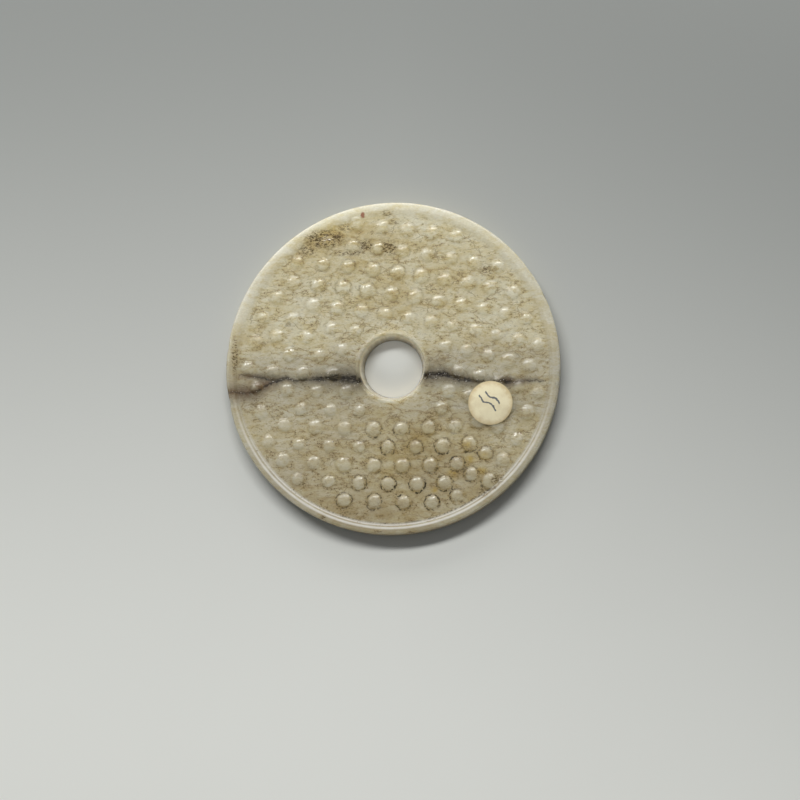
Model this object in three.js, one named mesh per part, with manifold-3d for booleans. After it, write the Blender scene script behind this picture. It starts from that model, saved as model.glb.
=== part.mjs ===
// A jade bi: a flat round disc of carved nephrite with a hole through its middle. Each face has a
// narrow raised border, a narrow raised ring round the hole, and between them a sunk field that
// carries rows of small round bosses. A round paper sticker lies on the upper face.
//
// Millimetres, +Z up. The disc lies on its underside, and the origin is on the axis of the hole, in
// the plane that the disc rests on. The rows of bosses on the lower half run along X.

import * as THREE from "three";
import { mergeVertices } from "three/addons/utils/BufferGeometryUtils.js";
import Module from "manifold-3d";

// ---- Driving dimensions ------------------------------------------------------------------------

const DISC_RADIUS = 48.5;
const THICKNESS = 5.0;
const AROUND = 72; // facets round the disc

// The raised border and the rounded rim outside it
const RIM_ROUNDING = 0.6;
const BORDER_FLAT = 1.3;
const BORDER_SLOPE = 1.1;
const FIELD_DEPTH = 0.7; // from the border down to the sunk field, on each face

// The hole was drilled from above, so it narrows downwards
const HOLE_RADIUS_TOP = 9.7;
const HOLE_RADIUS_UNDER = 8.4;
const HOLE_EDGE = 0.2; // the worn corner where the hole meets each face
const RING_FLAT = 0.5;
const RING_SLOPE = 0.8;

// The bosses: low domes that end a hair below the border, so that the disc rests on its border
const BOSS_RADIUS = 2.15;
const BOSS_CLEARANCE = 0.05;
const BOSS_HEIGHT = FIELD_DEPTH - BOSS_CLEARANCE;
const BOSS_SIDES = 6;
const SHOULDER_OUT = 0.66; // a dome's shoulder, in parts of its radius and its height
const SHOULDER_UP = 0.68;
const BOSS_ROOT = 0.3; // how far a dome's foot runs into the stone
const BOSS_NEAREST = 14.5; // distances of the innermost and outermost bosses from the axis
const BOSS_FARTHEST = 43.9;
const BOSS_SPACING = 5.0; // no two bosses stand closer than this

// The bosses stand in rows, in three patches that meet without lining up, as hand-laid work does.
// A patch has its first boss, the step along a row, the step from row to row, and how these steps
// drift along the row, across the rows, and with both.
const PATCHES = [
  {
    zone: "lower",
    first: [-5.3, -28.6],
    along: [8.43, -0.28],
    across: [4.15, 5.11],
    driftAlong: [-0.13, 0.11],
    driftAcross: [-0.05, 0.07],
    driftBoth: [-0.21, 0.17],
  },
  {
    zone: "corner",
    first: [22.4, -22.4],
    along: [4.28, -3.81],
    across: [3.95, 5.22],
    driftAlong: [0.29, 0.61],
    driftAcross: [0, -0.17],
    driftBoth: [0.12, 0.46],
  },
  {
    zone: "upper",
    first: [13.5, 19.1],
    along: [6.67, -1.29],
    across: [2.0, 6.14],
    driftAlong: [-0.07, -0.04],
    driftAcross: [-0.07, 0.05],
    driftBoth: [0.12, 0.01],
  },
];
const LONGEST_ROW = 11; // steps that cover a patch from its first boss, each way
const CORNER_ROW = 4;

// The seam between the lower and upper patches, and the line that parts off the corner patch
const SEAM = { angle: 59, distance: -2 };
const CORNER = { angle: -44, distance: 36 };

// Bosses that the carver fitted in singly, near the seam and the border
const SINGLE_BOSSES = [
  [-14.5, 5.3],
  [-33.7, 21.1],
  [-40.0, 7.9],
  [-42.1, 0.4],
  [-38.1, -12.7],
  [36.1, -21.7],
  [28.0, -33.6],
];

// The paper sticker, which lies on the tops of the bosses
const STICKER_RADIUS = 6.35;
const STICKER_THICKNESS = 0.15;
const STICKER_GAP = 0.03;
const STICKER_AT = [28.5, -11.1];
const STICKER_AROUND = 48;

// ---- Materials ---------------------------------------------------------------------------------

const jade = new THREE.MeshStandardMaterial({ color: 0xa89f82, roughness: 0.35, metalness: 0 });
const paper = new THREE.MeshStandardMaterial({ color: 0xe8deba, roughness: 0.9, metalness: 0 });

// ---- Where the bosses stand --------------------------------------------------------------------

// How far a point lies beyond a straight line, given by its normal's angle and its distance
function beyond([x, y], { angle, distance }) {
  const turn = THREE.MathUtils.degToRad(angle);
  return x * Math.cos(turn) + y * Math.sin(turn) - distance;
}

function zoneOf(point) {
  if (beyond(point, SEAM) > 0) return "upper";
  return beyond(point, CORNER) > 0 ? "corner" : "lower";
}

function patchPoint(patch, i, j) {
  const axis = (k) =>
    patch.first[k] +
    i * patch.along[k] +
    j * patch.across[k] +
    i * i * patch.driftAlong[k] +
    j * j * patch.driftAcross[k] +
    i * j * patch.driftBoth[k];
  return [axis(0), axis(1)];
}

function hasRoom(point, placed) {
  const reach = Math.hypot(...point);
  const inField = reach > BOSS_NEAREST && reach < BOSS_FARTHEST;
  return inField && placed.every(([x, y]) => Math.hypot(x - point[0], y - point[1]) > BOSS_SPACING);
}

function bossPlaces() {
  const placed = [...SINGLE_BOSSES];
  for (const patch of PATCHES) {
    const steps = patch.zone === "corner" ? CORNER_ROW : LONGEST_ROW;
    for (let j = -steps; j <= steps; j++) {
      for (let i = -steps; i <= steps; i++) {
        const point = patchPoint(patch, i, j);
        if (zoneOf(point) === patch.zone && hasRoom(point, placed)) placed.push(point);
      }
    }
  }
  return placed;
}

// ---- Shapes ------------------------------------------------------------------------------------

// A lathe turns its profile round Y; this stands the result upright along Z
function turned(profile, segments) {
  return new THREE.LatheGeometry(profile, segments).rotateX(Math.PI / 2);
}

// The section of the upper half of the disc, from the hole out to the rim. Heights are measured
// from the middle of the thickness.
function upperSection(holeRadius) {
  const top = THICKNESS / 2;
  const field = top - FIELD_DEPTH;
  const ringOut = holeRadius + HOLE_EDGE + RING_FLAT;
  const borderOut = DISC_RADIUS - RIM_ROUNDING;
  const borderIn = borderOut - BORDER_FLAT;
  const rim = [30, 60, 90].map((angle) => {
    const turn = THREE.MathUtils.degToRad(angle);
    return [
      borderOut + RIM_ROUNDING * Math.sin(turn),
      top - RIM_ROUNDING + RIM_ROUNDING * Math.cos(turn),
    ];
  });
  return [
    [holeRadius, top - HOLE_EDGE],
    [holeRadius + HOLE_EDGE, top],
    [ringOut, top],
    [ringOut + RING_SLOPE, field],
    [borderIn - BORDER_SLOPE, field],
    [borderIn, top],
    [borderOut, top],
    ...rim,
  ];
}

// The whole section as one closed outline: the lower half outwards, then the upper half back in
function discSection() {
  const upper = upperSection(HOLE_RADIUS_TOP);
  const lower = upperSection(HOLE_RADIUS_UNDER).map(([r, z]) => [r, -z]);
  const outline = [...lower, ...upper.reverse(), lower[0]];
  return outline.map(([r, z]) => new THREE.Vector2(r, z + THICKNESS / 2));
}

// A dome that stands on the height `level` and rises along `up` (+1 on the upper face, -1 below)
function dome([x, y], level, up) {
  const profile = [
    [0, -BOSS_ROOT],
    [BOSS_RADIUS, -BOSS_ROOT],
    [BOSS_RADIUS, 0],
    [SHOULDER_OUT * BOSS_RADIUS, SHOULDER_UP * BOSS_HEIGHT],
    [0, BOSS_HEIGHT],
  ].map(([r, z]) => new THREE.Vector2(r, z));
  const shape = turned(profile, BOSS_SIDES);
  if (up < 0) shape.rotateX(Math.PI);
  return shape.translate(x, y, level);
}

// ---- Solids ------------------------------------------------------------------------------------

const wasm = await Module();
wasm.setup();

function solid(geometry) {
  const bare = geometry.clone();
  bare.deleteAttribute("normal");
  bare.deleteAttribute("uv");
  const merged = mergeVertices(bare, 1e-4);
  return new wasm.Manifold(
    new wasm.Mesh({
      numProp: 3,
      vertProperties: merged.attributes.position.array,
      triVerts: Uint32Array.from(merged.index.array),
    }),
  );
}

function geometryOf(manifold) {
  const { vertProperties, triVerts } = manifold.getMesh();
  const geometry = new THREE.BufferGeometry();
  geometry.setAttribute("position", new THREE.BufferAttribute(vertProperties, 3));
  geometry.setIndex(new THREE.BufferAttribute(triVerts, 1));
  geometry.computeVertexNormals();
  return geometry;
}

function jadeDisc() {
  let stone = solid(turned(discSection(), AROUND));
  for (const place of bossPlaces()) {
    stone = stone.add(solid(dome(place, THICKNESS - FIELD_DEPTH, 1)));
    stone = stone.add(solid(dome(place, FIELD_DEPTH, -1)));
  }
  return geometryOf(stone);
}

function paperSticker() {
  const underside = THICKNESS - BOSS_CLEARANCE + STICKER_GAP;
  return new THREE.CylinderGeometry(STICKER_RADIUS, STICKER_RADIUS, STICKER_THICKNESS, STICKER_AROUND)
    .rotateX(Math.PI / 2)
    .translate(STICKER_AT[0], STICKER_AT[1], underside + STICKER_THICKNESS / 2);
}

// ---- The object --------------------------------------------------------------------------------

function piece(name, geometry, material) {
  const mesh = new THREE.Mesh(geometry, material);
  mesh.name = name;
  return mesh;
}

const group = new THREE.Group();
group.add(piece("jade_disc", jadeDisc(), jade));
group.add(piece("paper_sticker", paperSticker(), paper));

export default group;
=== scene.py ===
"""Looks of a carved jade bi: the stone disc, its round paper sticker, and a plain stage to show them.

The tables and the carving functions count in millimetres. Each mesh is scaled to metres last.
"""

import math

import bmesh
import bpy
from bpy.props import FloatProperty, FloatVectorProperty, IntProperty, PointerProperty
from mathutils import Matrix, Vector, kdtree, noise


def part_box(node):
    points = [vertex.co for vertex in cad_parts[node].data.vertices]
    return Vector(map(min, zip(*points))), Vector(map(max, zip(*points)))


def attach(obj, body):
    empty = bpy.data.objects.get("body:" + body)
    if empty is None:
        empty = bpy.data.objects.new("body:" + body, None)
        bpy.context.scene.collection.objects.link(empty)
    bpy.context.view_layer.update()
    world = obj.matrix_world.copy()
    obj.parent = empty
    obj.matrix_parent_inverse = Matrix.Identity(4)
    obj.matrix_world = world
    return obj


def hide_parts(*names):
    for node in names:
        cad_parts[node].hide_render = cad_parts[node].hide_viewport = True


bl_info = {
    "name": "Carved jade bi",
    "version": (1, 0, 0),
    "blender": (4, 5, 0),
    "location": "3D View > Sidebar > Jade bi",
    "description": "Builds the carved stone disc, its paper sticker and a plain stage",
    "category": "Object",
}

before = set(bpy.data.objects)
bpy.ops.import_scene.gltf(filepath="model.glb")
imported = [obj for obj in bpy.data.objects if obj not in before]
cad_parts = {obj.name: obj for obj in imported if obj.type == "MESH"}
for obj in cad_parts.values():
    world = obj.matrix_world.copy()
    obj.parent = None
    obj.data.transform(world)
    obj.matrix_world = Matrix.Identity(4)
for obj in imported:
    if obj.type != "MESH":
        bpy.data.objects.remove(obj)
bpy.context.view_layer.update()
MM = 0.001

DISC_LOW, DISC_HIGH = (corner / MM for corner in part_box("jade_disc"))
DISC_RADIUS = (DISC_HIGH.x - DISC_LOW.x) / 2
THICKNESS = DISC_HIGH.z - DISC_LOW.z
STICKER_LOW, STICKER_HIGH = (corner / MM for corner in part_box("paper_sticker"))
STICKER_AT = (STICKER_LOW + STICKER_HIGH) / 2
STICKER_RADIUS = (STICKER_HIGH.x - STICKER_LOW.x) / 2

# ---- How the disc is laid out ------------------------------------------------------------------

HOLE_RADIUS_TOP = 9.7
HOLE_RADIUS_UNDER = 8.4
HOLE_EDGE = 0.2
RIM_ROUNDING = 0.6
SUNK = 0.03  # how far the whole carved face stays below the CAD part's face
NEARLY = 1e-3  # a point this near a face counts as on it
CHIPS_FROM = 2.0  # the height at which the chips of the rim begin
BORE_GRAIN = 0.05  # how rough the drilled wall is
WAVES = ((6.5, 0.07), (2.3, 0.025))  # unevenness of the field: distance apart, and height
BOSS_FULLNESS = 0.75  # 1 is a shallow bowl's shape, 0.5 half a ball's
FOOT_GROOVE = 0.03  # depth of the groove round each boss

# Longest edges of the mesh: round the bosses and on the field, each for the upper and the lower
# face, then along the fissure, and where edges are left as they are
BOSS_EDGES = (0.4, 0.95)
BOSS_REACH = 1.25
FIELD_EDGES = (1.2, 1.9)
FISSURE_EDGES = 0.5
ANY_LENGTH = 9.0

LIGHTS_AWAY = 1.2  # metres from the disc to the two soft lights

# Bosses stand in rows, in three patches. A patch has its first boss, the step along a row, the step
# from row to row, and how these steps drift along the row, across the rows, and with both.
PATCHES = {
    "lower": ((-5.3, -28.6), (8.43, -0.28), (4.15, 5.11), (-0.13, 0.11), (-0.05, 0.07), (-0.21, 0.17)),
    "corner": ((22.4, -22.4), (4.28, -3.81), (3.95, 5.22), (0.29, 0.61), (0.0, -0.17), (0.12, 0.46)),
    "upper": ((13.5, 19.1), (6.67, -1.29), (2.0, 6.14), (-0.07, -0.04), (-0.07, 0.05), (0.12, 0.01)),
}
ROW_STEPS = {"lower": 11, "corner": 4, "upper": 11}
SEAM = (59.0, -2.0)  # the angle of a line's normal, and its distance from the axis
CORNER = (-44.0, 36.0)
SINGLE_BOSSES = (
    (-14.5, 5.3),
    (-33.7, 21.1),
    (-40.0, 7.9),
    (-42.1, 0.4),
    (-38.1, -12.7),
    (36.1, -21.7),
    (28.0, -33.6),
)
BOSS_NEAREST = 14.5
BOSS_FARTHEST = 43.9
BOSS_SPACING = 5.0

# The fissure runs from rim to rim: x, y, half the width of its dark core, reach of its grey cloud
FISSURE_LEFT = (
    (-43.6, -1.6, 0.08, 0.6),
    (-41.5, -1.9, 0.16, 0.9),
    (-39.6, -2.2, 0.24, 1.4),
    (-37.9, -2.5, 0.32, 2.6),
    (-35.6, -3.2, 0.55, 3.2),
    (-33.2, -3.4, 0.60, 2.8),
    (-30.9, -2.7, 0.40, 2.4),
    (-28.2, -3.6, 0.26, 2.2),
    (-25.3, -3.4, 0.34, 2.8),
    (-22.4, -3.1, 0.55, 3.6),
    (-19.5, -3.2, 0.85, 4.4),
    (-16.5, -2.9, 1.10, 5.2),
    (-13.6, -3.2, 1.40, 6.0),
    (-11.6, -3.3, 1.45, 6.0),
    (-9.8, -3.7, 1.20, 5.6),
    (-7.5, -4.1, 1.10, 4.8),
)
FISSURE_BRANCH = (
    (-48.6, -6.8, 0.20, 2.6),
    (-45.9, -6.6, 0.28, 3.0),
    (-42.9, -6.9, 0.36, 3.2),
    (-39.9, -6.7, 0.34, 3.4),
    (-37.9, -5.6, 0.42, 3.4),
    (-35.8, -4.3, 0.36, 2.4),
    (-34.2, -3.6, 0.20, 1.2),
)
FISSURE_RIGHT = (
    (8.0, -2.8, 1.00, 4.8),
    (11.1, -2.6, 1.15, 5.2),
    (12.8, -2.5, 0.95, 4.8),
    (15.1, -2.4, 1.00, 4.4),
    (17.4, -3.2, 0.85, 4.0),
    (19.7, -3.9, 0.75, 3.6),
    (22.0, -4.1, 0.70, 3.2),
    (24.3, -4.6, 0.36, 2.8),
    (28.0, -5.0, 0.18, 2.2),
    (31.2, -4.7, 0.24, 1.8),
    (33.5, -4.9, 0.80, 2.4),
    (35.8, -5.1, 0.30, 1.8),
    (38.1, -4.7, 0.22, 1.4),
    (41.0, -4.7, 0.12, 0.9),
    (43.5, -4.9, 0.04, 0.5),
)

FISSURE_END = 1.5  # a fissure dies away over this length beyond its last point
FISSURE_FAR = 9.0

# Small chips out of the rim's upper edge: angle in degrees, width and depth
RIM_CHIPS = (
    (34.8, 0.9, 0.22),
    (24.2, 1.0, 0.25),
    (-4.0, 0.8, 0.30),
    (-7.3, 0.9, 0.34),
    (-19.0, 1.1, 0.25),
    (-26.0, 0.9, 0.22),
    (172.0, 1.2, 0.25),
    (188.5, 0.9, 0.28),
    (191.5, 1.2, 0.36),
)

# Dirt and stain in the surface: x, y, reach along x, reach along y, strength
BRUISES = (
    (-37.6, -4.7, 3.6, 1.8, 1.0),
    (-42.5, -6.7, 4.2, 1.9, 1.0),
    (-46.6, -6.9, 3.0, 2.2, 0.9),
    (-42.0, -2.0, 3.6, 1.1, 0.7),
    (33.5, -4.9, 2.0, 1.1, 1.0),
    (37.5, -4.9, 2.4, 0.9, 0.5),
)
GRIME = (
    (-19.7, 38.2, 6.0, 2.8, 1.0),
    (-24.7, 35.0, 3.2, 2.2, 0.7),
    (-13.8, 41.3, 3.6, 1.4, 0.6),
    (-7.6, 36.1, 2.6, 1.8, 0.9),
    (-0.8, 35.0, 2.6, 2.6, 0.9),
    (-1.4, 45.4, 1.8, 1.0, 0.8),
    (0.6, 42.7, 2.0, 0.9, 0.7),
    (-13.0, 33.8, 7.0, 0.9, 0.7),
    (27.7, 27.8, 3.0, 2.2, 0.6),
    (-46.0, 4.5, 0.9, 5.5, 1.0),
    (39.9, 4.1, 1.5, 0.9, 0.5),
    (39.0, -1.7, 1.4, 0.7, 0.5),
    (-25.4, -33.7, 2.2, 1.2, 0.6),
    (30.2, -33.2, 2.0, 1.5, 0.9),
    (26.4, -36.6, 2.2, 1.5, 0.8),
    (-19.8, -43.5, 1.0, 0.8, 0.8),
    (-3.9, -47.6, 1.4, 0.5, 0.8),
    (5.5, -47.8, 1.4, 0.5, 0.8),
)
OCHRE = (
    (-19.7, 38.2, 9.0, 4.5, 1.0),
    (-6.0, 34.0, 20.0, 11.0, 0.85),
    (6.0, 24.0, 28.0, 12.0, 0.6),
    (-38.0, 9.0, 7.0, 8.0, 0.4),
    (-46.0, 3.0, 3.0, 12.0, 0.8),
    (8.0, -26.0, 18.0, 15.0, 1.0),
    (0.0, -42.0, 26.0, 8.0, 0.6),
    (40.0, -12.0, 10.0, 10.0, 0.4),
)
YELLOW = (
    (21.7, -23.1, 1.6, 1.3, 1.0),
    (22.5, -27.1, 1.3, 1.2, 0.9),
    (26.5, -26.3, 1.5, 1.1, 0.9),
    (17.6, -31.1, 1.5, 1.2, 0.9),
    (25.9, -30.6, 1.6, 1.1, 0.9),
    (12.4, -35.9, 0.9, 0.8, 1.0),
    (-17.0, 40.5, 5.0, 2.0, 0.5),
)
FOOT_DIRT = (
    (9.0, -37.0, 24.0, 9.0, 1.2),
    (16.0, -26.0, 16.0, 7.0, 0.9),
    (-1.0, -22.0, 8.0, 6.0, 1.1),
    (-12.0, -40.0, 12.0, 6.0, 0.8),
    (-8.0, 26.0, 22.0, 9.0, 0.4),
    (5.0, -17.0, 20.0, 6.0, 0.4),
)

RED_SPOT_AT = (-8.5, 45.0, 4.9)
RED_SPOT_SIZE = (0.7, 1.0, 2.0)

# Strokes of a pen on the sticker: middle, angle in degrees, half length, swing and pitch of its wave
PEN_STROKES = (
    ((-0.8, 0.0), -38.0, 3.5, 0.34, 4.6),
    ((0.6, 1.5), -38.0, 2.9, 0.34, 4.6),
)


def smooth(t):
    """An S-shaped rise from 0 to 1."""
    t = min(1.0, max(0.0, t))
    return t * t * (3.0 - 2.0 * t)


def bump(t):
    """A bell that is 1 at 0 and dies away by 2."""
    return math.exp(-t * t)


def beyond(point, line):
    """How far a point lies beyond a straight line."""
    turn = math.radians(line[0])
    return point[0] * math.cos(turn) + point[1] * math.sin(turn) - line[1]


def zone_of(point):
    """The patch of bosses that a point belongs to."""
    if beyond(point, SEAM) > 0:
        return "upper"
    return "corner" if beyond(point, CORNER) > 0 else "lower"


def boss_places():
    """Centres of the bosses, the same as in the CAD part."""
    placed = list(SINGLE_BOSSES)
    for zone, terms in PATCHES.items():
        steps = range(-ROW_STEPS[zone], ROW_STEPS[zone] + 1)
        for j in steps:
            for i in steps:
                factors = (1, i, j, i * i, j * j, i * j)
                point = tuple(sum(f * t[k] for f, t in zip(factors, terms)) for k in (0, 1))
                reach = math.hypot(*point)
                inside = BOSS_NEAREST < reach < BOSS_FARTHEST and zone_of(point) == zone
                if inside and all(math.dist(point, other) > BOSS_SPACING for other in placed):
                    placed.append(point)
    return placed


def path_at(path, x):
    """Height, half width and reach of a fissure at x; both widths die away beyond its ends."""
    nearest = min(max(x, path[0][0]), path[-1][0])
    left = max(0.03, 1.0 - abs(x - nearest) / FISSURE_END)
    for before, after in zip(path, path[1:]):
        if nearest <= after[0]:
            t = (nearest - before[0]) / (after[0] - before[0])
            height, half, reach = (a + (b - a) * t for a, b in zip(before[1:], after[1:]))
            return height, half * left, reach * left
    raise ValueError("a fissure needs points from left to right")


def painted(table, x, y):
    """The strongest of a table's patches at a point, from 0 to 1."""
    return max(s * bump(math.hypot((x - cx) / rx, (y - cy) / ry)) for cx, cy, rx, ry, s in table)


class Carving:
    """Heights of the carved faces and what the material needs to know of each point on them."""

    def __init__(self, shape):
        self.shape = shape
        self.places = boss_places()
        self.tree = kdtree.KDTree(len(self.places))
        for index, (x, y) in enumerate(self.places):
            self.tree.insert((x, y, 0.0), index)
        self.tree.balance()
        self.border_out = DISC_RADIUS - RIM_ROUNDING
        self.border_in = self.border_out - shape.border_flat / MM
        self.border_foot = self.border_in - shape.border_slope / MM
        self.depth = shape.field_depth / MM
        self.boss_radius = shape.boss_radius / MM
        self.boss_height = shape.boss_height / MM

    def ring_out(self, up):
        """Where the flat of the ring round the hole ends, on the upper or the lower face."""
        hole = HOLE_RADIUS_TOP if up else HOLE_RADIUS_UNDER
        return hole + HOLE_EDGE + self.shape.ring_flat / MM

    def border_slope(self, y):
        """Width of the slope from the border to the field, which is worn wide in the upper part."""
        return (self.border_in - self.border_foot) * (1.0 + 1.8 * smooth((y + 12.0) / 34.0))

    def nearest_boss(self, x, y):
        """Distance to the nearest boss, in boss radii, with that boss's own small faults."""
        _, index, _ = self.tree.find((x, y, 0.0))
        bx, by = self.places[index]
        size = 1.0 + 0.07 * math.sin(index * 12.9898)
        lean = 0.12 * math.sin(index * 78.233)
        height = 0.94 + 0.06 * math.sin(index * 37.719)
        return math.hypot(x - bx, (y - by) * (1.0 + lean * 0.5)) / (self.boss_radius * size), height

    def fissure(self, path, x, y):
        """Signed offset from a fissure, its half width and its cloud's reach."""
        height, half, reach = path_at(path, x)
        wander = 0.22 * noise.noise((x * 0.9, 3.1, 0.0)) + 0.12 * noise.noise((x * 2.6, 7.7, 0.0))
        return y - height - wander, half, reach

    def main_fissure(self, x, y):
        """The fissure that runs from rim to rim, but for the hole."""
        return self.fissure(FISSURE_LEFT if x < 0 else FISSURE_RIGHT, x, y)

    def branch_fissure(self, x, y):
        """The short branch that joins it at the left."""
        return self.fissure(FISSURE_BRANCH, x, y)

    def height(self, x, y, up):
        """How far the face lies below (-) the border's plane at a point."""
        r = math.hypot(x, y)
        ring = 1.0 - smooth((r - self.ring_out(up)) / (self.shape.ring_slope / MM))
        slope = self.border_slope(y)
        border = smooth((r - self.border_in + slope) / slope)
        land = max(ring, border)
        side = 0.0 if up else 40.0
        waves = sum(tall * noise.noise((x / apart, y / apart, side)) for apart, tall in WAVES)
        t, rise = self.nearest_boss(x, y)
        uneven = (0.2 + 0.8 * smooth((t - 0.75) / 0.55)) * waves
        level = (1.0 - land) * (uneven - self.depth) - SUNK * land
        if t < 1.0:
            level += self.boss_height * rise * (1.0 - t * t) ** BOSS_FULLNESS
        level -= FOOT_GROOVE * bump((t - 1.12) / 0.14)
        ragged = 1.0 + 0.8 * noise.noise((x * 1.7, y * 1.7, side))
        for offset, half, _ in (self.main_fissure(x, y), self.branch_fissure(x, y)):
            cut = self.shape.fissure_depth / MM * min(1.0, half / 0.7)
            level -= cut * ragged * bump(offset / (half * 0.8))
            if abs(offset) < 1.6:
                crumbling = 0.05 * noise.noise((x * 2.9, y * 2.9, side))
                level += crumbling * bump(offset / 1.2) * min(1.0, half)
        return min(level, -SUNK)


# ---- Mesh tools --------------------------------------------------------------------------------


def section_legs(carving):
    """The disc's section as corners (radius, height) with the spacing of points after each."""
    low, top = 0.0, THICKNESS
    under, upper = carving.ring_out(False), carving.ring_out(True)
    slope = carving.shape.ring_slope / MM
    far = carving.border_foot
    return (
        (HOLE_RADIUS_UNDER, HOLE_EDGE, 0.08),
        (HOLE_RADIUS_UNDER + HOLE_EDGE, low, 0.2),
        (under, low, 0.14),
        (under + slope, low, 0.75),
        (far, low, 0.16),
        (carving.border_in, low, 0.33),
        (carving.border_out, low, 0.16),
        (DISC_RADIUS, RIM_ROUNDING, 0.6),
        (DISC_RADIUS, top - RIM_ROUNDING, 0.13),
        (carving.border_out, top, 0.3),
        (carving.border_in, top, 0.11),
        (far, top, 0.7),
        (upper + slope, top, 0.1),
        (upper, top, 0.16),
        (HOLE_RADIUS_TOP + HOLE_EDGE, top, 0.08),
        (HOLE_RADIUS_TOP, top - HOLE_EDGE, 0.5),
    )


def round_rim(bm, centre):
    """Pushes the points of the rim's two chamfers out onto the rounds that they stand for."""
    for vert in bm.verts:
        level = THICKNESS - RIM_ROUNDING if vert.co.z > THICKNESS / 2 else RIM_ROUNDING
        beyond_wall = abs(vert.co.z - THICKNESS / 2) > THICKNESS / 2 - RIM_ROUNDING - 1e-4
        across = vert.co.x - centre
        above = vert.co.z - level
        if beyond_wall and across > 1e-4:
            stretch = RIM_ROUNDING / math.hypot(across, above)
            vert.co.x = centre + across * stretch
            vert.co.z = level + above * stretch


def turned_blank(carving, around):
    """The plain disc before carving: its section turned once round the axis of the hole."""
    bm = bmesh.new()
    legs = section_legs(carving)
    corners = [bm.verts.new((r, 0.0, z)) for r, z, _ in legs]
    sides = [bm.edges.new((a, b)) for a, b in zip(corners, corners[1:] + corners[:1])]
    for side, (_, _, spacing) in zip(sides, legs):
        cuts = max(1, round(side.calc_length() / spacing)) - 1
        if cuts:
            bmesh.ops.subdivide_edges(bm, edges=[side], cuts=cuts)
    round_rim(bm, carving.border_out)
    bmesh.ops.spin(
        bm,
        geom=bm.verts[:] + bm.edges[:],
        cent=(0, 0, 0),
        axis=(0, 0, 1),
        angle=math.tau,
        steps=around,
        use_merge=True,
    )
    bmesh.ops.remove_doubles(bm, verts=bm.verts, dist=1e-4)
    bmesh.ops.recalc_face_normals(bm, faces=bm.faces)
    return bm


def refine(bm, wanted, passes):
    """Splits edges until each is about as short as wanted(point) asks for."""
    for _ in range(passes):
        middles = ((edge, (edge.verts[0].co + edge.verts[1].co) / 2) for edge in bm.edges)
        long_edges = [edge for edge, middle in middles if edge.calc_length() > wanted(middle)]
        if not long_edges:
            break
        bmesh.ops.subdivide_edges(bm, edges=long_edges, cuts=1, use_grid_fill=True)
        bmesh.ops.triangulate(bm, faces=bm.faces, quad_method="SHORT_EDGE")


def finished_object(bm, name, material, node):
    """Makes the mesh an object in metres that rides with the part and stands for a CAD node."""
    bmesh.ops.scale(bm, vec=(MM, MM, MM), verts=bm.verts)
    mesh = bpy.data.meshes.new(name)
    bm.to_mesh(mesh)
    bm.free()
    for polygon in mesh.polygons:
        polygon.use_smooth = True
    mesh.materials.append(material)
    piece = bpy.data.objects.new(name, mesh)
    bpy.context.scene.collection.objects.link(piece)
    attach(piece, "root")
    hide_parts(node)


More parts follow.
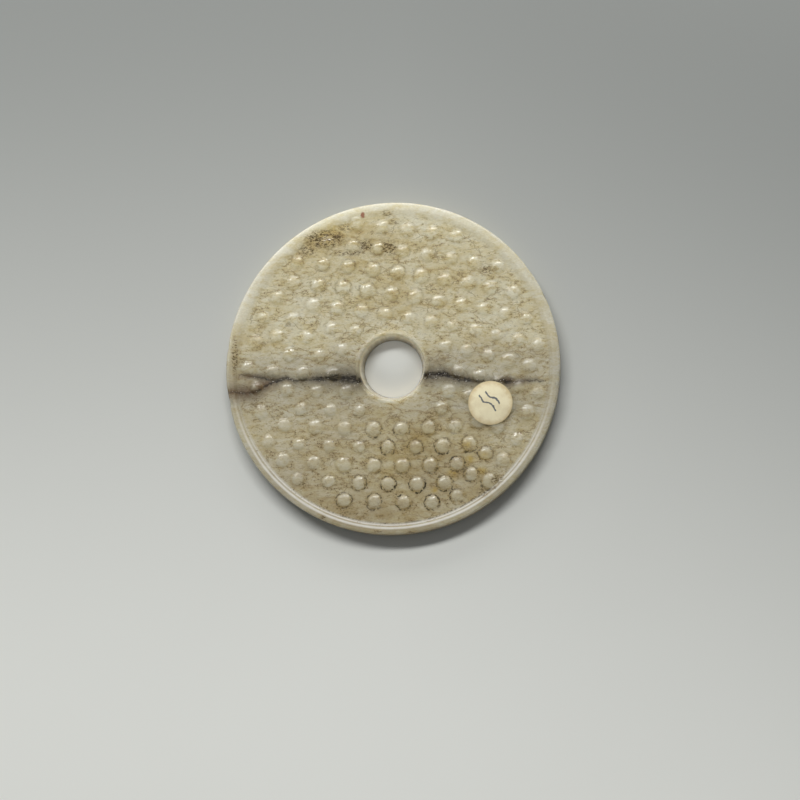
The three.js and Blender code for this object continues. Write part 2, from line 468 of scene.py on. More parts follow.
def disc_mesh(carving, around):
    """The carved disc, with what its material reads of each point kept on the points."""
    bm = turned_blank(carving, around)
    inner = min(carving.ring_out(False), carving.ring_out(True))

    def wanted(point):
        r = math.hypot(point.x, point.y)
        on_face = abs(point.z - THICKNESS) < NEARLY or abs(point.z) < NEARLY
        if not on_face:
            return ANY_LENGTH
        up = point.z > THICKNESS / 2
        if up and abs(carving.main_fissure(point.x, point.y)[0]) < 1.0:
            return FISSURE_EDGES
        if r > carving.border_foot or r < inner:
            return ANY_LENGTH
        t, _ = carving.nearest_boss(point.x, point.y)
        upper, under = BOSS_EDGES if t < BOSS_REACH else FIELD_EDGES
        return upper if up else under

    refine(bm, wanted, 3)
    names = "boss_distance main_offset main_half main_cloud branch_offset branch_half branch_cloud"
    names += " grime ochre bruised yellow foot_dirt raised bore border arris"
    layer = {name: bm.verts.layers.float.new(name) for name in names.split()}
    for vert in bm.verts:
        x, y, z = vert.co
        r = math.hypot(x, y)
        up = z > THICKNESS / 2
        level = 0.0
        if z > THICKNESS - NEARLY:
            level = carving.height(x, y, True)
            vert.co.z = THICKNESS + level
        elif z < NEARLY:
            level = carving.height(x, y, False)
            vert.co.z = -level
        elif r < inner:
            turn = math.atan2(y, x)
            grain = noise.noise((math.cos(turn) * 14.0, math.sin(turn) * 14.0, z * 0.35))
            push = 1.0 + BORE_GRAIN * grain / r
            vert.co.x, vert.co.y = x * push, y * push
        if up and r > carving.border_out - 0.3:
            turn = math.degrees(math.atan2(y, x))
            for angle, width, depth in RIM_CHIPS:
                away = math.radians((turn - angle + 180.0) % 360.0 - 180.0) * r
                push = depth * bump(away / width) * smooth((z - CHIPS_FROM) / 2.0)
                vert.co.x -= x / r * push
                vert.co.y -= y / r * push
        t, _ = carving.nearest_boss(x, y)
        fissures = {"main": carving.main_fissure(x, y), "branch": carving.branch_fissure(x, y)}
        for name, (offset, half, cloud) in fissures.items():
            vert[layer[name + "_offset"]] = max(-FISSURE_FAR, min(FISSURE_FAR, offset))
            vert[layer[name + "_half"]] = half
            vert[layer[name + "_cloud"]] = cloud
        vert[layer["boss_distance"]] = min(t, 3.0)
        vert[layer["grime"]] = painted(GRIME, x, y) if up else 0.0
        vert[layer["ochre"]] = painted(OCHRE, x, y)
        vert[layer["bruised"]] = painted(BRUISES, x, y)
        vert[layer["yellow"]] = painted(YELLOW, x, y) if up else 0.0
        vert[layer["foot_dirt"]] = painted(FOOT_DIRT, x, y) if up else 0.15
        vert[layer["raised"]] = smooth(1.0 + level / carving.depth)
        slope = carving.border_slope(y)
        vert[layer["border"]] = smooth((r - carving.border_in + slope + 0.4) / (slope - 0.5))
        # painted highlight: pale lines on the border slope's crest and foot, strongest in the lower
        # half, where the light from above glints
        crest = bump((r - carving.border_in - 0.15) / 0.22)
        foot = bump((r - carving.border_foot - 0.1) / 0.2)
        vert[layer["arris"]] = max(crest, 0.7 * foot) * (0.06 + 0.94 * smooth((-5.0 - y) / 30.0))
        vert[layer["bore"]] = smooth((inner + 0.6 - r) / 0.3) * smooth((THICKNESS - z) / 0.3)
    return bm


def sticker_mesh(carving, shape):
    """A disc of paper that sags a little between the tops of the bosses it lies on."""
    bm = bmesh.new()
    bmesh.ops.create_circle(bm, cap_ends=True, segments=120, radius=STICKER_RADIUS)
    rings = 14
    for _ in range(rings):
        centre_face = max(bm.faces, key=lambda face: len(face.verts))
        bmesh.ops.inset_region(bm, faces=[centre_face], thickness=STICKER_RADIUS / (rings + 1))
    bmesh.ops.poke(bm, faces=[max(bm.faces, key=lambda face: len(face.verts))])
    thickness = shape.thickness / MM
    lip = bmesh.ops.extrude_face_region(bm, geom=bm.faces[:])
    lifted = [item for item in lip["geom"] if isinstance(item, bmesh.types.BMVert)]
    bmesh.ops.translate(bm, vec=(0, 0, thickness), verts=lifted)
    edge_loop = [e for e in bm.edges if e.is_manifold and e.calc_face_angle() > 1.0]
    bmesh.ops.bevel(
        bm, geom=edge_loop, offset=0.03, segments=2, profile=0.5, affect="EDGES", material=-1
    )
    bmesh.ops.translate(bm, vec=(STICKER_AT.x, STICKER_AT.y, 0), verts=bm.verts)
    rest = STICKER_HIGH.z - thickness - 0.02
    for vert in bm.verts:
        x, y, _ = vert.co
        t, _ = carving.nearest_boss(x, y)
        edge = math.hypot(x - STICKER_AT.x, y - STICKER_AT.y) / STICKER_RADIUS
        sag = shape.sag / MM * (1.0 - bump(t * 0.62)) * (1.0 + 0.25 * noise.noise((x / 3, y / 3, 5)))
        curl = 0.05 * smooth((edge - 0.75) / 0.25) * noise.noise((x / 4, y / 4, 9.0))
        vert.co.z = min(vert.co.z + rest - sag + curl, STICKER_HIGH.z)
    bmesh.ops.recalc_face_normals(bm, faces=bm.faces)
    return bm


# ---- Material tools ----------------------------------------------------------------------------


class Graph:
    """Short ways to add nodes. A value is a number, a colour, or another node's socket."""

    def __init__(self, tree):
        self.tree = tree

    def feed(self, socket, value):
        if isinstance(value, bpy.types.NodeSocket):
            self.tree.links.new(value, socket)
        elif hasattr(value, "__len__") and len(value) < len(socket.default_value):
            socket.default_value = (*value, 1.0)
        else:
            socket.default_value = value

    def node(self, kind, inputs=None, **settings):
        made = self.tree.nodes.new(kind)
        for name, value in settings.items():
            setattr(made, name, value)
        for name, value in (inputs or {}).items():
            self.feed(made.inputs[name], value)
        return made

    def maths(self, operation, a, b=0.0, clamp=False):
        made = self.node("ShaderNodeMath", {0: a, 1: b}, operation=operation, use_clamp=clamp)
        return made.outputs[0]

    def vector_maths(self, operation, a, b):
        return self.node("ShaderNodeVectorMath", {0: a, 1: b}, operation=operation).outputs[0]

    def length(self, vector):
        made = self.node("ShaderNodeVectorMath", {0: vector}, operation="LENGTH")
        return made.outputs["Value"]

    def folded(self, operation, values):
        result = values[0]
        for value in values[1:]:
            result = self.maths(operation, result, value)
        return result

    def times(self, *values):
        return self.folded("MULTIPLY", values)

    def plus(self, *values):
        return self.folded("ADD", values)

    def most(self, *values):
        return self.folded("MAXIMUM", values)

    def rest(self, value):
        """What is left of 1."""
        return self.maths("SUBTRACT", 1.0, value)

    def span(self, value, low, high, to_low=0.0, to_high=1.0):
        inputs = {"Value": value, "From Min": low, "From Max": high, "To Min": to_low, "To Max": to_high}
        return self.node("ShaderNodeMapRange", inputs, interpolation_type="SMOOTHSTEP").outputs[0]

    def blend(self, factor, a, b, kind="MIX"):
        inputs = {0: factor, 6: a, 7: b}
        made = self.node("ShaderNodeMix", inputs, data_type="RGBA", blend_type=kind)
        return made.outputs[2]

    def tinted(self, factor, tone, tint):
        """The tone multiplied by a tint, as far as the factor says."""
        return self.blend(factor, tone, tint, "MULTIPLY")

    def noise(self, vector, scale, detail=2.0, roughness=0.5, distortion=0.0):
        inputs = {
            "Vector": vector,
            "Scale": scale,
            "Detail": detail,
            "Roughness": roughness,
            "Distortion": distortion,
        }
        return self.node("ShaderNodeTexNoise", inputs)

    def field(self, *given):
        """Noise as a value from 0 to 1."""
        return self.noise(*given).outputs[0]

    def swing(self, *given):
        """Noise that swings both ways about 0."""
        return self.maths("SUBTRACT", self.field(*given), 0.5)

    def placed(self, vector, location=(0, 0, 0), turn=0.0, scale=(1, 1, 1)):
        inputs = {"Vector": vector, "Location": location, "Rotation": (0, 0, turn), "Scale": scale}
        return self.node("ShaderNodeMapping", inputs).outputs[0]

    def kept(self, name):
        return self.node("ShaderNodeAttribute", attribute_name=name).outputs["Fac"]

    def shared(self, name, vector, **values):
        """One of the shared groups, placed with its own values."""
        tree = bpy.data.node_groups.get(name) or GROUP_MAKERS[name]()
        inputs = {"Vector": vector}
        inputs.update((label.title(), value) for label, value in values.items())
        return self.node("ShaderNodeGroup", inputs, node_tree=tree).outputs[0]


def new_group(name, inputs, output):
    """An empty node group with named inputs (type and default) and one named output."""
    tree = bpy.data.node_groups.new(name, "ShaderNodeTree")
    for label, (kind, default) in inputs.items():
        socket = tree.interface.new_socket(label, in_out="INPUT", socket_type=kind)
        if default is not None:
            socket.default_value = default
    tree.interface.new_socket(output, in_out="OUTPUT", socket_type="NodeSocketFloat")
    graph = Graph(tree)
    return graph, graph.node("NodeGroupInput").outputs, graph.node("NodeGroupOutput").inputs[0]


FLOAT = "NodeSocketFloat"
VECTOR = "NodeSocketVector"


def mottle_group():
    """Soft clouds, from 0 to 1, with some of their edges sharpened."""
    graph, given, out = new_group(
        "mottle",
        {"Vector": (VECTOR, None), "Scale": (FLOAT, 0.2), "Low": (FLOAT, 0.4), "High": (FLOAT, 0.62)},
        "Cloud",
    )
    clouds = graph.field(given["Vector"], given["Scale"], 4.0, 0.55, 0.35)
    graph.feed(out, graph.span(clouds, given["Low"], given["High"]))
    return graph.tree


def hairline_group():
    """Thin wandering lines, broken here and there."""
    graph, given, out = new_group(
        "hairline",
        {
            "Vector": (VECTOR, None),
            "Scale": (FLOAT, 0.25),
            "Width": (FLOAT, 0.02),
            "Bareness": (FLOAT, 0.5),
        },
        "Line",
    )
    off = graph.maths("ABSOLUTE", graph.swing(given["Vector"], given["Scale"], 5.0, 0.6, 0.25))
    line = graph.rest(graph.span(off, 0.0, given["Width"]))
    shifted = graph.placed(given["Vector"], (31.0, 17.0, 5.0))
    breaks = graph.field(shifted, graph.times(given["Scale"], 1.3), 2.0)
    shown = graph.span(breaks, given["Bareness"], graph.plus(given["Bareness"], 0.12))
    graph.feed(out, graph.times(line, shown))
    return graph.tree


def crackle_group():
    """A net of fine cracks with most of its threads missing."""
    graph, given, out = new_group(
        "crackle",
        {
            "Vector": (VECTOR, None),
            "Scale": (FLOAT, 0.3),
            "Width": (FLOAT, 0.03),
            "Bareness": (FLOAT, 0.5),
        },
        "Crack",
    )
    warp = graph.noise(given["Vector"], graph.times(given["Scale"], 2.2), 3.0).outputs["Color"]
    pull = graph.vector_maths("MULTIPLY", warp, (1.6, 1.6, 1.6))
    inputs = {"Vector": graph.vector_maths("ADD", given["Vector"], pull), "Scale": given["Scale"]}
    cells = graph.node("ShaderNodeTexVoronoi", inputs, feature="DISTANCE_TO_EDGE")
    line = graph.rest(graph.span(cells.outputs["Distance"], 0.0, given["Width"]))
    shifted = graph.placed(given["Vector"], (7.0, 43.0, 11.0))
    breaks = graph.field(shifted, graph.times(given["Scale"], 0.8), 2.0)
    shown = graph.span(breaks, given["Bareness"], graph.plus(given["Bareness"], 0.1))
    graph.feed(out, graph.times(line, shown))
    return graph.tree


def patch_group():
    """One spot with a ragged edge."""
    graph, given, out = new_group(
        "patch",
        {
            "Vector": (VECTOR, None),
            "Centre": (VECTOR, None),
            "Size": (VECTOR, None),
            "Ragged": (FLOAT, 0.5),
        },
        "Patch",
    )
    away = graph.vector_maths("SUBTRACT", given["Vector"], given["Centre"])
    reach = graph.length(graph.vector_maths("DIVIDE", away, given["Size"]))
    rough = graph.swing(given["Vector"], 1.3, 3.0)
    edge = graph.plus(reach, graph.times(rough, given["Ragged"]))
    graph.feed(out, graph.rest(graph.span(edge, 0.6, 1.15)))
    return graph.tree


GROUP_MAKERS = {
    "mottle": mottle_group,
    "hairline": hairline_group,
    "crackle": crackle_group,
    "patch": patch_group,
}


def new_material(name):
    """A material with its shader, and the object's coordinates counted in millimetres."""
    material = bpy.data.materials.new(name)
    material.use_nodes = True
    graph = Graph(material.node_tree)
    shader = material.node_tree.nodes["Principled BSDF"]
    coordinates = graph.node("ShaderNodeTexCoord").outputs["Object"]
    return material, graph, shader, graph.placed(coordinates, scale=(1 / MM, 1 / MM, 1 / MM))


# ---- Materials ---------------------------------------------------------------------------------


def jade_material(look):
    """River-worn nephrite: cream above and brown grey below, partly its own tone and partly painted
    light falling from above; veined, and dirty in its hollows.
    """
    material, graph, shader, mm = new_material("nephrite")
    axes = graph.node("ShaderNodeSeparateXYZ", {0: mm}).outputs
    flow = graph.placed(mm, turn=0.12, scale=(0.62, 1.3, 0.8))
    streaky = graph.placed(mm, turn=-0.1, scale=(0.5, 1.0, 0.6))
    boss = graph.kept("boss_distance")
    border = graph.kept("border")
    raised = graph.kept("raised")
    hollow = graph.rest(raised)
    sunk = graph.rest(graph.times(border, 0.3))

    # the clean stone, lighter towards the top, partly in its own tone and partly as painted light
    drift = graph.times(graph.swing(flow, 0.045, 2.0), 60.0)
    # painted light: the blend from the lower to the upper tone also lightens the top as if it were
    # nearer the light
    height = graph.span(graph.plus(axes["Y"], drift), -80.0, 70.0)
    tone = graph.blend(height, look.lower_tone_and_shade, look.upper_tone_and_light)
    clouds = graph.shared("mottle", flow, scale=0.1, low=0.42, high=0.66)
    tone = graph.blend(graph.times(clouds, 0.3), tone, look.milky_cloud)

    # brown stain that has crept into the sunk field
    wide_at = graph.placed(flow, (60.0, 9.0, 3.0))
    wide = graph.shared("mottle", wide_at, scale=0.22, low=0.38, high=0.66)
    small_at = graph.placed(flow, (12.0, 70.0, 3.0))
    small = graph.shared("mottle", small_at, scale=0.75, low=0.4, high=0.68)
    streaks = graph.shared("mottle", streaky, scale=1.2, low=0.36, high=0.66)
    stain = graph.plus(graph.times(wide, 0.5), graph.times(small, 0.28), graph.times(streaks, 0.28))
    tone = graph.tinted(graph.times(stain, sunk), tone, look.warm_stain)
    patchy_stain = graph.plus(graph.times(wide, 0.5), 0.7)
    tone = graph.tinted(graph.times(graph.kept("ochre"), sunk, patchy_stain), tone, look.old_stain)
    broken = graph.span(graph.field(mm, 0.9, 3.0), 0.3, 0.55, 0.5, 1.0)
    tone = graph.tinted(graph.times(graph.kept("yellow"), broken), tone, look.yellow_stain)
    beside = graph.maths("ABSOLUTE", graph.plus(axes["Y"], graph.times(drift, 0.3), 4.5))
    tone = graph.tinted(graph.span(beside, 15.0, 4.0), tone, look.fissure_haze)
    speckle = graph.span(graph.field(streaky, 3.0, 4.0, 0.7), 0.3, 0.7)
    tone = graph.tinted(1.0, tone, graph.blend(speckle, (0.91, 0.90, 0.88), (1.07, 1.07, 1.07)))

    # hair-thin veins, each in a faint brown seep
    seep = graph.shared("hairline", flow, scale=0.32, width=0.12, bareness=0.42)
    tone = graph.tinted(graph.times(seep, sunk, 0.75), tone, look.warm_stain)
    long_veins = graph.shared("hairline", flow, scale=0.32, width=0.019, bareness=0.46)
    short_at = graph.placed(flow, (90.0, 20.0, 8.0))
    short_veins = graph.shared("hairline", short_at, scale=0.75, width=0.027, bareness=0.47)
    flattened = graph.placed(mm, scale=(0.6, 1.0, 0.6))
    cracks = graph.shared("crackle", flattened, scale=0.26, width=0.036, bareness=0.5)
    veins = graph.most(long_veins, graph.times(short_veins, 0.7), graph.times(cracks, 0.6))
    veins = graph.times(veins, graph.rest(graph.times(border, 0.95)))
    veins = graph.times(veins, graph.plus(graph.times(hollow, 0.5), 0.5))
    tone = graph.blend(graph.times(veins, 0.92), tone, look.vein)

    # the bosses are rubbed clean, and paler in the lower half; the border is greyer, and painted
    # highlight lines run along its lower edges
    crown = graph.span(boss, 1.02, 0.7)
    worn = graph.times(crown, graph.maths("SUBTRACT", 0.34, graph.times(height, 0.4), clamp=True))
    tone = graph.blend(worn, tone, look.crown_tone)
    tone = graph.tinted(border, tone, look.border_tone)
    # painted highlight: pale lines on the border's edges, where the light from above would glint on the
    # lower slope
    tone = graph.blend(graph.times(graph.kept("arris"), 0.9), tone, look.arris_tone)

    # the fissure: a grey cloud, a brown edge, a dark core of threads, and painted glints of light
    shake = graph.swing(mm, 0.9, 6.0, 0.72)
    bands = []
    for name in ("main", "branch"):
        shaken = graph.plus(graph.kept(name + "_offset"), graph.times(shake, 2.1))
        away = graph.maths("ABSOLUTE", shaken)
        in_reaches = graph.maths("DIVIDE", away, graph.kept(name + "_cloud"))
        in_halves = graph.maths("DIVIDE", away, graph.kept(name + "_half"))
        cloud = graph.span(graph.plus(in_reaches, graph.times(shake, 0.8)), 1.35, 0.0)
        bands.append((cloud, graph.span(in_halves, 3.4, 0.4), graph.span(in_halves, 1.35, 0.35)))
    cloud, edge, core = (graph.most(*both) for both in zip(*bands))
    tone = graph.blend(graph.times(cloud, 0.86), tone, look.fissure_cloud)
    tone = graph.blend(graph.times(edge, 0.62), tone, look.fissure_edge)
    blotched = graph.span(graph.field(mm, 0.7, 4.0, 0.7), 0.3, 0.55, 0.25, 1.0)
    tone = graph.blend(graph.times(graph.kept("bruised"), blotched, 0.95), tone, look.bruise)
    threads = graph.field(graph.placed(mm, scale=(0.35, 1.4, 1.0)), 1.3, 4.0, 0.7)
    core = graph.times(core, graph.span(threads, 0.36, 0.54, 0.35, 1.0))
    core = graph.times(core, graph.span(graph.kept("main_half"), 0.1, 0.75, 0.5, 1.0))
    tone = graph.blend(core, tone, look.fissure_core)
    # painted highlight: pale glints along the fissure's edges
    glint = graph.times(graph.span(graph.field(mm, 1.6, 2.0), 0.655, 0.71), edge)
    tone = graph.blend(graph.times(glint, 0.6), tone, look.glint)

    # dirt round the bosses and along the foot of the border
    foot_dirt = graph.kept("foot_dirt")
    shaken_boss = graph.plus(boss, graph.times(graph.swing(mm, 0.85, 4.0, 0.65), 0.9))
    foot = graph.times(graph.span(shaken_boss, 0.96, 1.06), graph.span(shaken_boss, 1.34, 1.14))
    patchy = graph.span(graph.field(mm, 0.32, 3.0, 0.6), 0.36, 0.52)
    crumbs = graph.span(graph.field(mm, 1.3, 4.0, 0.75), 0.44, 0.53)
    border_foot = graph.times(graph.span(border, 0.02, 0.3), graph.span(border, 0.95, 0.5))
    rings = graph.times(foot, patchy, crumbs, foot_dirt)
    rings = graph.most(rings, graph.times(border_foot, crumbs, foot_dirt, 0.9))
    halo = graph.times(graph.span(boss, 0.8, 1.0), graph.span(boss, 1.6, 1.1))
    halo = graph.times(halo, graph.span(graph.field(mm, 0.5, 3.0), 0.35, 0.62))
    halo = graph.times(halo, graph.span(foot_dirt, -0.6, 1.0), 0.5)
    tone = graph.blend(halo, tone, look.dirt_haze)

    # specks in the stained patches and along the seeps
    grime = graph.kept("grime")
    grain = graph.field(graph.placed(mm, turn=-0.5, scale=(0.7, 1.3, 1.0)), 1.7, 4.0, 0.75)
    tone = graph.blend(graph.times(graph.span(grain, 0.28, 0.6), grime, 0.6), tone, look.dirt_haze)
    dots = graph.span(graph.field(mm, 1.8, 2.0), 0.575, 0.64)
    pepper = graph.times(dots, graph.plus(graph.times(seep, 0.8), 0.1), hollow)
    pepper = graph.times(pepper, graph.span(height, 0.75, 0.25, 0.25, 0.8))
    specks = graph.times(graph.span(grain, 0.5, 0.55), graph.span(grime, 0.15, 0.7))
    specks = graph.most(specks, pepper)
    tone = graph.blend(graph.times(specks, 0.95), tone, look.speck)
    tone = graph.blend(rings, tone, look.dirt)
    dirt = graph.maths("MINIMUM", graph.most(specks, rings), 1.0)

    # the drilled wall of the hole is brown, with the marks of the drill, and painted paler than the
    # stone to lift the shade it stands in
    drill = graph.field(graph.placed(mm, scale=(1.0, 1.0, 0.12)), 1.1, 3.0)
    wall = graph.blend(graph.span(drill, 0.35, 0.65), look.bore_dark, look.bore_light)
    tone = graph.blend(graph.kept("bore"), tone, wall)

    # a red-brown spot near the upper border
    red = graph.shared("patch", mm, centre=RED_SPOT_AT, size=RED_SPOT_SIZE, ragged=0.8)
    tone = graph.blend(graph.times(red, 0.8), tone, look.red_spot)
    graph.feed(shader.inputs["Base Color"], tone)

    # glossy on the bosses, duller in the field and on the border, matt where it is dirty
    polished = graph.span(boss, 1.06, 0.92)
    rough = graph.span(graph.most(raised, polished, border), 0.1, 0.95, 0.34, 0.09)
    unevenness = graph.span(graph.field(mm, 0.8, 4.0, 0.6), 0.3, 0.7, -0.02, 0.04)
    rough = graph.plus(rough, graph.times(border, 0.14), unevenness)
    rough = graph.maths("ADD", rough, graph.times(graph.most(dirt, core), 0.25), clamp=True)
    graph.feed(shader.inputs["Roughness"], rough)

    unpolished = graph.times(hollow, graph.rest(polished))
    relief = graph.field(mm, 2.2, 5.0, 0.6)
    relief = graph.times(relief, graph.plus(graph.times(unpolished, 0.035), 0.0006))
    relief = graph.maths("SUBTRACT", relief, graph.times(veins, 0.02))
    bumped = graph.node("ShaderNodeBump", {"Strength": 1.0, "Distance": MM, "Height": relief})
    graph.feed(shader.inputs["Normal"], bumped.outputs[0])

    shader.inputs["IOR"].default_value = 1.61
    shader.inputs["Specular IOR Level"].default_value = 0.22
    shader.inputs["Subsurface Weight"].default_value = 0.9
    shader.inputs["Subsurface Radius"].default_value = (1.0, 1.0, 0.97)
    shader.inputs["Subsurface Scale"].default_value = 18.0 * MM
    return material


def paper_material(look):
    """Old cream paper, browned at its rim, with a few strokes of a pen."""
    material, graph, shader, mm = new_material("old_paper")
    centred = graph.placed(mm, (-STICKER_AT.x, -STICKER_AT.y, -STICKER_AT.z))
    flat = graph.vector_maths("MULTIPLY", centred, (1, 1, 0))
    ragged = graph.times(graph.swing(mm, 0.7, 4.0), 2.2)
    rim = graph.span(graph.plus(graph.length(flat), ragged), 4.6, 6.5)
    clouds = graph.shared("mottle", mm, scale=0.35, low=0.4, high=0.7)
    colour = graph.blend(graph.times(clouds, 0.5), look.paper, look.aged_paper)
    colour = graph.blend(graph.times(rim, 0.75), colour, look.paper_rim)
    fibres_at = graph.placed(mm, scale=(1.0, 2.5, 1.0))
    fibres = graph.shared("hairline", fibres_at, scale=1.6, width=0.05, bareness=0.45)
    colour = graph.blend(graph.times(fibres, 0.15), colour, look.paper_rim)

    # each stroke follows a wave, as wide where the wave is steep as where it is level
    strokes = []
    wobble = graph.times(graph.swing(mm, 0.9, 2.0), 0.9)
    for place, angle, length, swing, pitch in PEN_STROKES:
        turned = graph.node(
            "ShaderNodeMapping",
            {"Vector": flat, "Location": (*place, 0), "Rotation": (0, 0, math.radians(angle))},
            vector_type="TEXTURE",
        ).outputs[0]
        axes = graph.node("ShaderNodeSeparateXYZ", {0: turned}).outputs
        along = graph.times(axes["X"], math.tau / pitch)
        wave = graph.times(graph.maths("SINE", along), swing)
        off = graph.maths("SUBTRACT", graph.plus(axes["Y"], wobble), wave)
        slope = graph.times(graph.maths("COSINE", along), swing * math.tau / pitch)
        stretch = graph.maths("SQRT", graph.plus(graph.times(slope, slope), 1.0))
        off = graph.maths("DIVIDE", graph.maths("ABSOLUTE", off), stretch)
        ended = graph.span(graph.maths("ABSOLUTE", axes["X"]), length, length - 0.3)
        strokes.append(graph.times(graph.span(off, 0.33, 0.16), ended))
    colour = graph.blend(graph.times(graph.most(*strokes), 0.9), colour, look.ink)
    graph.feed(shader.inputs["Base Color"], colour)

    height = graph.plus(graph.field(mm, 3.0, 4.0, 0.6), graph.times(fibres, 0.3))
    bumped = graph.node("ShaderNodeBump", {"Strength": 0.5, "Distance": 0.03 * MM, "Height": height})
    graph.feed(shader.inputs["Normal"], bumped.outputs[0])
    shader.inputs["Roughness"].default_value = 0.75
    return material


def floor_material(look):
    """A pale floor with painted shade: it darkens gently towards the back and the right, where the light
    is painted as falling off.
    """
    material, graph, shader, mm = new_material("pale_floor")
    axes = graph.node("ShaderNodeSeparateXYZ", {0: mm}).outputs
    # painted shade: the floor's colour darkens towards the back and the right as the light would fall
    # off
    slant = graph.plus(axes["Y"], graph.times(graph.most(axes["X"], 0.0), 0.35))
    away = graph.span(slant, -140.0, 135.0)
    dust = graph.shared("mottle", mm, scale=0.01, low=0.3, high=0.7)
    colour = graph.blend(away, look.floor_lit_near, look.floor_shaded_far)
    colour = graph.blend(graph.times(dust, 0.02), colour, look.floor_shaded_far)
    graph.feed(shader.inputs["Base Color"], colour)
    shader.inputs["Roughness"].default_value = 0.8
    shader.inputs["Specular IOR Level"].default_value = 0.2
    return material


# ---- Settings ----------------------------------------------------------------------------------


def metres(name, description, default):
    return FloatProperty(
        name=name, description=description, default=default, min=0.0, precision=5, unit="LENGTH"
    )


def paint(name, description, default):
    return FloatVectorProperty(
        name=name, description=description, default=default, subtype="COLOR", min=0.0, max=1.0
    )


def power(name, description, default):
    return FloatProperty(name=name, description=description, default=default, min=0.0, unit="POWER")


class DiscShape(bpy.types.PropertyGroup):
    around: IntProperty(
        name="Steps round", description="Steps that turn the disc's section", default=192, min=24
    )
    border_flat: metres("Border", "Width of the raised border's flat", 1.3 * MM)
    border_slope: metres("Border slope", "Width of the slope down to the field", 0.9 * MM)
    field_depth: metres("Field depth", "Depth of the sunk field below the border", 0.55 * MM)
    ring_flat: metres("Ring", "Width of the flat of the ring round the hole", 0.35 * MM)
    ring_slope: metres("Ring slope", "Width of the slope from the ring to the field", 0.7 * MM)
    boss_radius: metres("Boss radius", "Radius of a boss at its foot", 2.05 * MM)
    boss_height: metres("Boss height", "Height of a boss above the field", 0.5 * MM)
    fissure_depth: metres("Fissure depth", "Depth of the groove along the fissure", 0.07 * MM)


class JadeLook(bpy.types.PropertyGroup):
    # the upper and lower tones hold painted light as well as the stone's colour: the top is painted
    # lighter
    upper_tone_and_light: paint("Upper stone", "Cream of the upper half", (0.84, 0.80, 0.615))
    lower_tone_and_shade: paint("Lower stone", "Brown grey of the lower half", (0.42, 0.372, 0.262))
    milky_cloud: paint("Milky clouds", "Pale grey-green clouds", (0.72, 0.69, 0.52))
    warm_stain: paint("Warm stain", "Multiplies the stone where it is stained", (0.86, 0.79, 0.62))
    old_stain: paint("Old stain", "Multiplies the stone in the wide brown areas", (0.75, 0.685, 0.53))
    yellow_stain: paint("Yellow stain", "Multiplies the stone in the yellow spots", (0.98, 0.80, 0.26))
    fissure_haze: paint("Fissure haze", "Multiplies the stone near the fissure", (0.82, 0.83, 0.87))
    border_tone: paint("Border", "Multiplies the stone of the border", (0.85, 0.85, 0.87))
    # the pale lines painted as a highlight along the border's lower edges
    arris_tone: paint("Worn edges", "The rubbed edges of the border", (0.99, 0.96, 0.87))
    crown_tone: paint("Boss tops", "The paler stone of the bosses", (0.49, 0.485, 0.40))
    vein: paint("Veins", "Hair-thin brown veins", (0.17, 0.115, 0.05))
    fissure_cloud: paint("Fissure cloud", "Grey stone beside the fissure", (0.235, 0.215, 0.15))
    fissure_edge: paint("Fissure edge", "Dark brown beside the core", (0.11, 0.088, 0.058))
    bruise: paint("Bruises", "Red brown patches by the fissure", (0.125, 0.074, 0.036))
    fissure_core: paint("Fissure core", "The dark core of the fissure", (0.010, 0.006, 0.001))
    # painted highlight: the pale glints along the fissure
    glint: paint("Glints", "Pale grains in the fissure", (0.80, 0.74, 0.66))
    dirt_haze: paint("Stained haze", "Olive brown round the specks", (0.27, 0.195, 0.07))
    speck: paint("Specks", "Brown specks in the stained patches", (0.078, 0.046, 0.008))
    dirt: paint("Dirt", "Dirt in the hollows", (0.026, 0.016, 0.003))
    # the hole wall's light and dark tones are drill marks, both painted paler as light to lift the wall
    # out of its shade
    bore_light: paint("Hole wall, light", "Tan ridges in the hole", (0.96, 0.82, 0.56))
    bore_dark: paint("Hole wall, dark", "Brown hollows in the hole", (0.84, 0.67, 0.41))
    red_spot: paint("Red spot", "A red-brown spot by the upper border", (0.25, 0.07, 0.04))


class PaperLook(bpy.types.PropertyGroup):
    thickness: metres("Thickness", "Thickness of the paper", 0.12 * MM)
    sag: metres("Sag", "How far the paper sags between the bosses", 0.16 * MM)
    paper: paint("Paper", "Cream paper", (0.74, 0.67, 0.45))
    aged_paper: paint("Aged paper", "Yellowed paper", (0.62, 0.53, 0.33))
    paper_rim: paint("Rim", "Browned rim", (0.50, 0.38, 0.19))
    ink: paint("Ink", "Faded blue-grey ink", (0.045, 0.06, 0.09))


class StageLook(bpy.types.PropertyGroup):
    # the floor's two colours are painted light in front and painted shade behind
    floor_lit_near: paint("Floor, near", "Pale floor in front", (0.76, 0.77, 0.725))
    floor_shaded_far: paint("Floor, far", "Greyer floor behind", (0.26, 0.27, 0.257))
    key_power: power("Key light", "The high soft light", 14.6)
    low_power: power("Low light", "The low strip light", 6.0)
    hole_power: power("Hole light", "A narrow beam down the hole", 3.7)
    fill: FloatProperty(name="Fill", description="Light all round", default=0.18, min=0.0)


# ---- Operators ---------------------------------------------------------------------------------


class JADEBI_OT_disc(bpy.types.Operator):
    """Build the carved stone disc"""

    bl_idname = "jadebi.disc"
    bl_label = "Jade disc"
    bl_options = {"REGISTER", "UNDO"}

    def execute(self, context):
        shape = context.scene.jadebi_shape
        bm = disc_mesh(Carving(shape), shape.around)
        finished_object(bm, "carved_disc", jade_material(context.scene.jadebi_jade), "jade_disc")
        return {"FINISHED"}


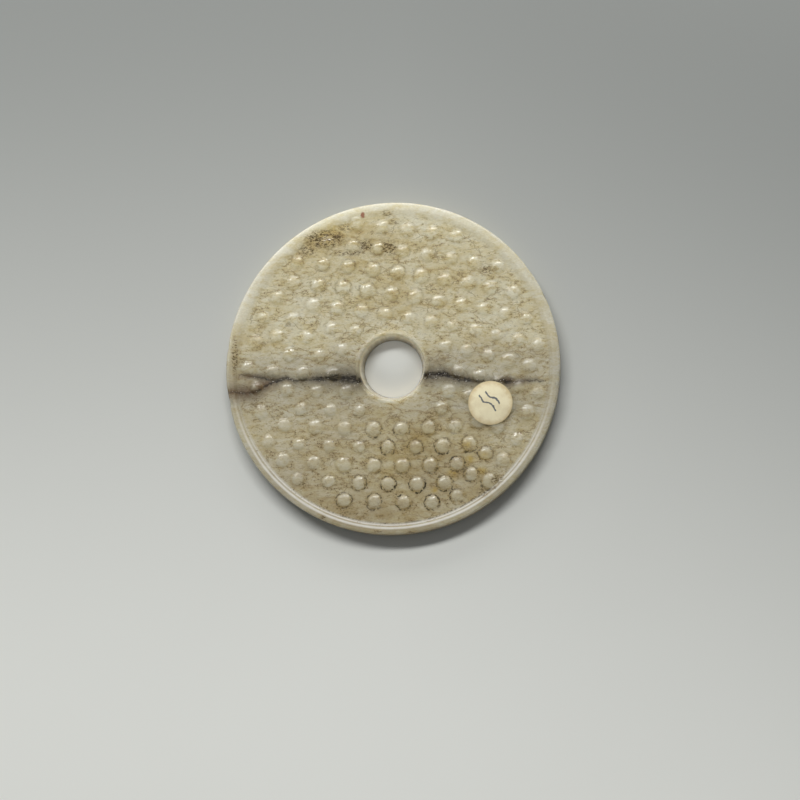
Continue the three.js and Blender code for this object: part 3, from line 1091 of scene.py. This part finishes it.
class JADEBI_OT_sticker(bpy.types.Operator):
    """Build the round paper sticker that lies on the bosses"""

    bl_idname = "jadebi.sticker"
    bl_label = "Paper sticker"
    bl_options = {"REGISTER", "UNDO"}

    def execute(self, context):
        look = context.scene.jadebi_paper
        bm = sticker_mesh(Carving(context.scene.jadebi_shape), look)
        finished_object(bm, "sticker", paper_material(look), "paper_sticker")
        return {"FINISHED"}


def soft_light(name, towards, size, watts):
    """A rectangular soft light that stands off in a direction and faces the disc."""
    light = bpy.data.lights.new(name, "AREA")
    light.shape = "RECTANGLE"
    light.size, light.size_y = size
    light.energy = watts
    lamp = bpy.data.objects.new(name, light)
    away = Vector(towards).normalized()
    lamp.location = Vector((0.0, 0.0, THICKNESS * MM)) + away * LIGHTS_AWAY
    lamp.rotation_mode = "QUATERNION"
    lamp.rotation_quaternion = away.to_track_quat("Z", "Y")
    bpy.context.scene.collection.objects.link(lamp)


def beam_light(name, place, angle, watts):
    """A narrow beam that points straight down."""
    beam = bpy.data.lights.new(name, "SPOT")
    beam.energy = watts
    beam.spot_size = angle
    beam.spot_blend = 1.0
    beam.shadow_soft_size = 0.002
    lamp = bpy.data.objects.new(name, beam)
    lamp.location = place
    bpy.context.scene.collection.objects.link(lamp)


def looking_camera(azimuth, elevation, distance, target, view_width):
    """A camera that looks at the target, with the Y axis upright in its view."""
    level = math.cos(elevation)
    back = Vector((math.sin(azimuth) * level, -math.cos(azimuth) * level, math.sin(elevation)))
    up = (Vector((0, 1, 0)) - back * back.y).normalized()
    camera_data = bpy.data.cameras.new("camera")
    camera_data.sensor_width = 36.0
    camera_data.lens = camera_data.sensor_width * distance / view_width
    camera_data.clip_start = 0.01
    camera = bpy.data.objects.new("camera", camera_data)
    turn = Matrix((up.cross(back), up, back)).transposed()
    camera.matrix_world = Matrix.Translation(target + back * distance) @ turn.to_4x4()
    bpy.context.scene.collection.objects.link(camera)
    return camera


class JADEBI_OT_stage(bpy.types.Operator):
    """Lay the floor and set the lights and the camera"""

    bl_idname = "jadebi.stage"
    bl_label = "Stage"
    bl_options = {"REGISTER", "UNDO"}

    def execute(self, context):
        look = context.scene.jadebi_stage
        bm = bmesh.new()
        bmesh.ops.create_grid(bm, x_segments=24, y_segments=24, size=1.6)
        mesh = bpy.data.meshes.new("floor")
        bm.to_mesh(mesh)
        bm.free()
        mesh.materials.append(floor_material(look))
        floor = bpy.data.objects.new("floor", mesh)
        context.scene.collection.objects.link(floor)

        soft_light("key_light", (-0.1175, 0.621, 0.775), (1.15, 0.19), look.key_power)
        soft_light("low_light", (-0.1175, 0.92, 0.36), (2.2, 0.30), look.low_power)
        beam_light("hole_light", (0.0, 5.0 * MM, 0.6), math.radians(1.6), look.hole_power)
        world = bpy.data.worlds.new("soft_room")
        world.use_nodes = True
        background = world.node_tree.nodes["Background"]
        background.inputs["Color"].default_value = (0.97, 0.98, 1.0, 1.0)
        background.inputs["Strength"].default_value = look.fill
        context.scene.world = world
        context.scene.view_settings.view_transform = "Standard"

        azimuth, elevation = math.radians(38.0), math.radians(79.0)
        target = Vector((1.843, -9.033, 0.0)) * MM
        context.scene.camera = looking_camera(azimuth, elevation, 0.7, target, 231.68 * MM)
        return {"FINISHED"}


class JADEBI_PT_panel(bpy.types.Panel):
    """Lists the pieces of the jade bi and their settings"""

    bl_idname = "JADEBI_PT_panel"
    bl_label = "Jade bi"
    bl_space_type = "VIEW_3D"
    bl_region_type = "UI"
    bl_category = "Jade bi"

    def draw(self, context):
        scene = context.scene
        rows = (
            ("jadebi.disc", (scene.jadebi_shape, scene.jadebi_jade)),
            ("jadebi.sticker", (scene.jadebi_paper,)),
            ("jadebi.stage", (scene.jadebi_stage,)),
        )
        for operator, settings in rows:
            box = self.layout.box()
            box.operator(operator)
            for setting in settings:
                for name in setting.__annotations__:
                    box.prop(setting, name)


SETTINGS = {
    "jadebi_shape": DiscShape,
    "jadebi_jade": JadeLook,
    "jadebi_paper": PaperLook,
    "jadebi_stage": StageLook,
}
CLASSES = (*SETTINGS.values(), JADEBI_OT_disc, JADEBI_OT_sticker, JADEBI_OT_stage, JADEBI_PT_panel)


def register():
    for cls in CLASSES:
        bpy.utils.register_class(cls)
    for name, cls in SETTINGS.items():
        setattr(bpy.types.Scene, name, PointerProperty(type=cls))


def unregister():
    for name in SETTINGS:
        delattr(bpy.types.Scene, name)
    for cls in reversed(CLASSES):
        bpy.utils.unregister_class(cls)


def main():
    register()
    bpy.ops.jadebi.disc()
    bpy.ops.jadebi.sticker()
    bpy.ops.jadebi.stage()


if __name__ == "__main__":
    main()
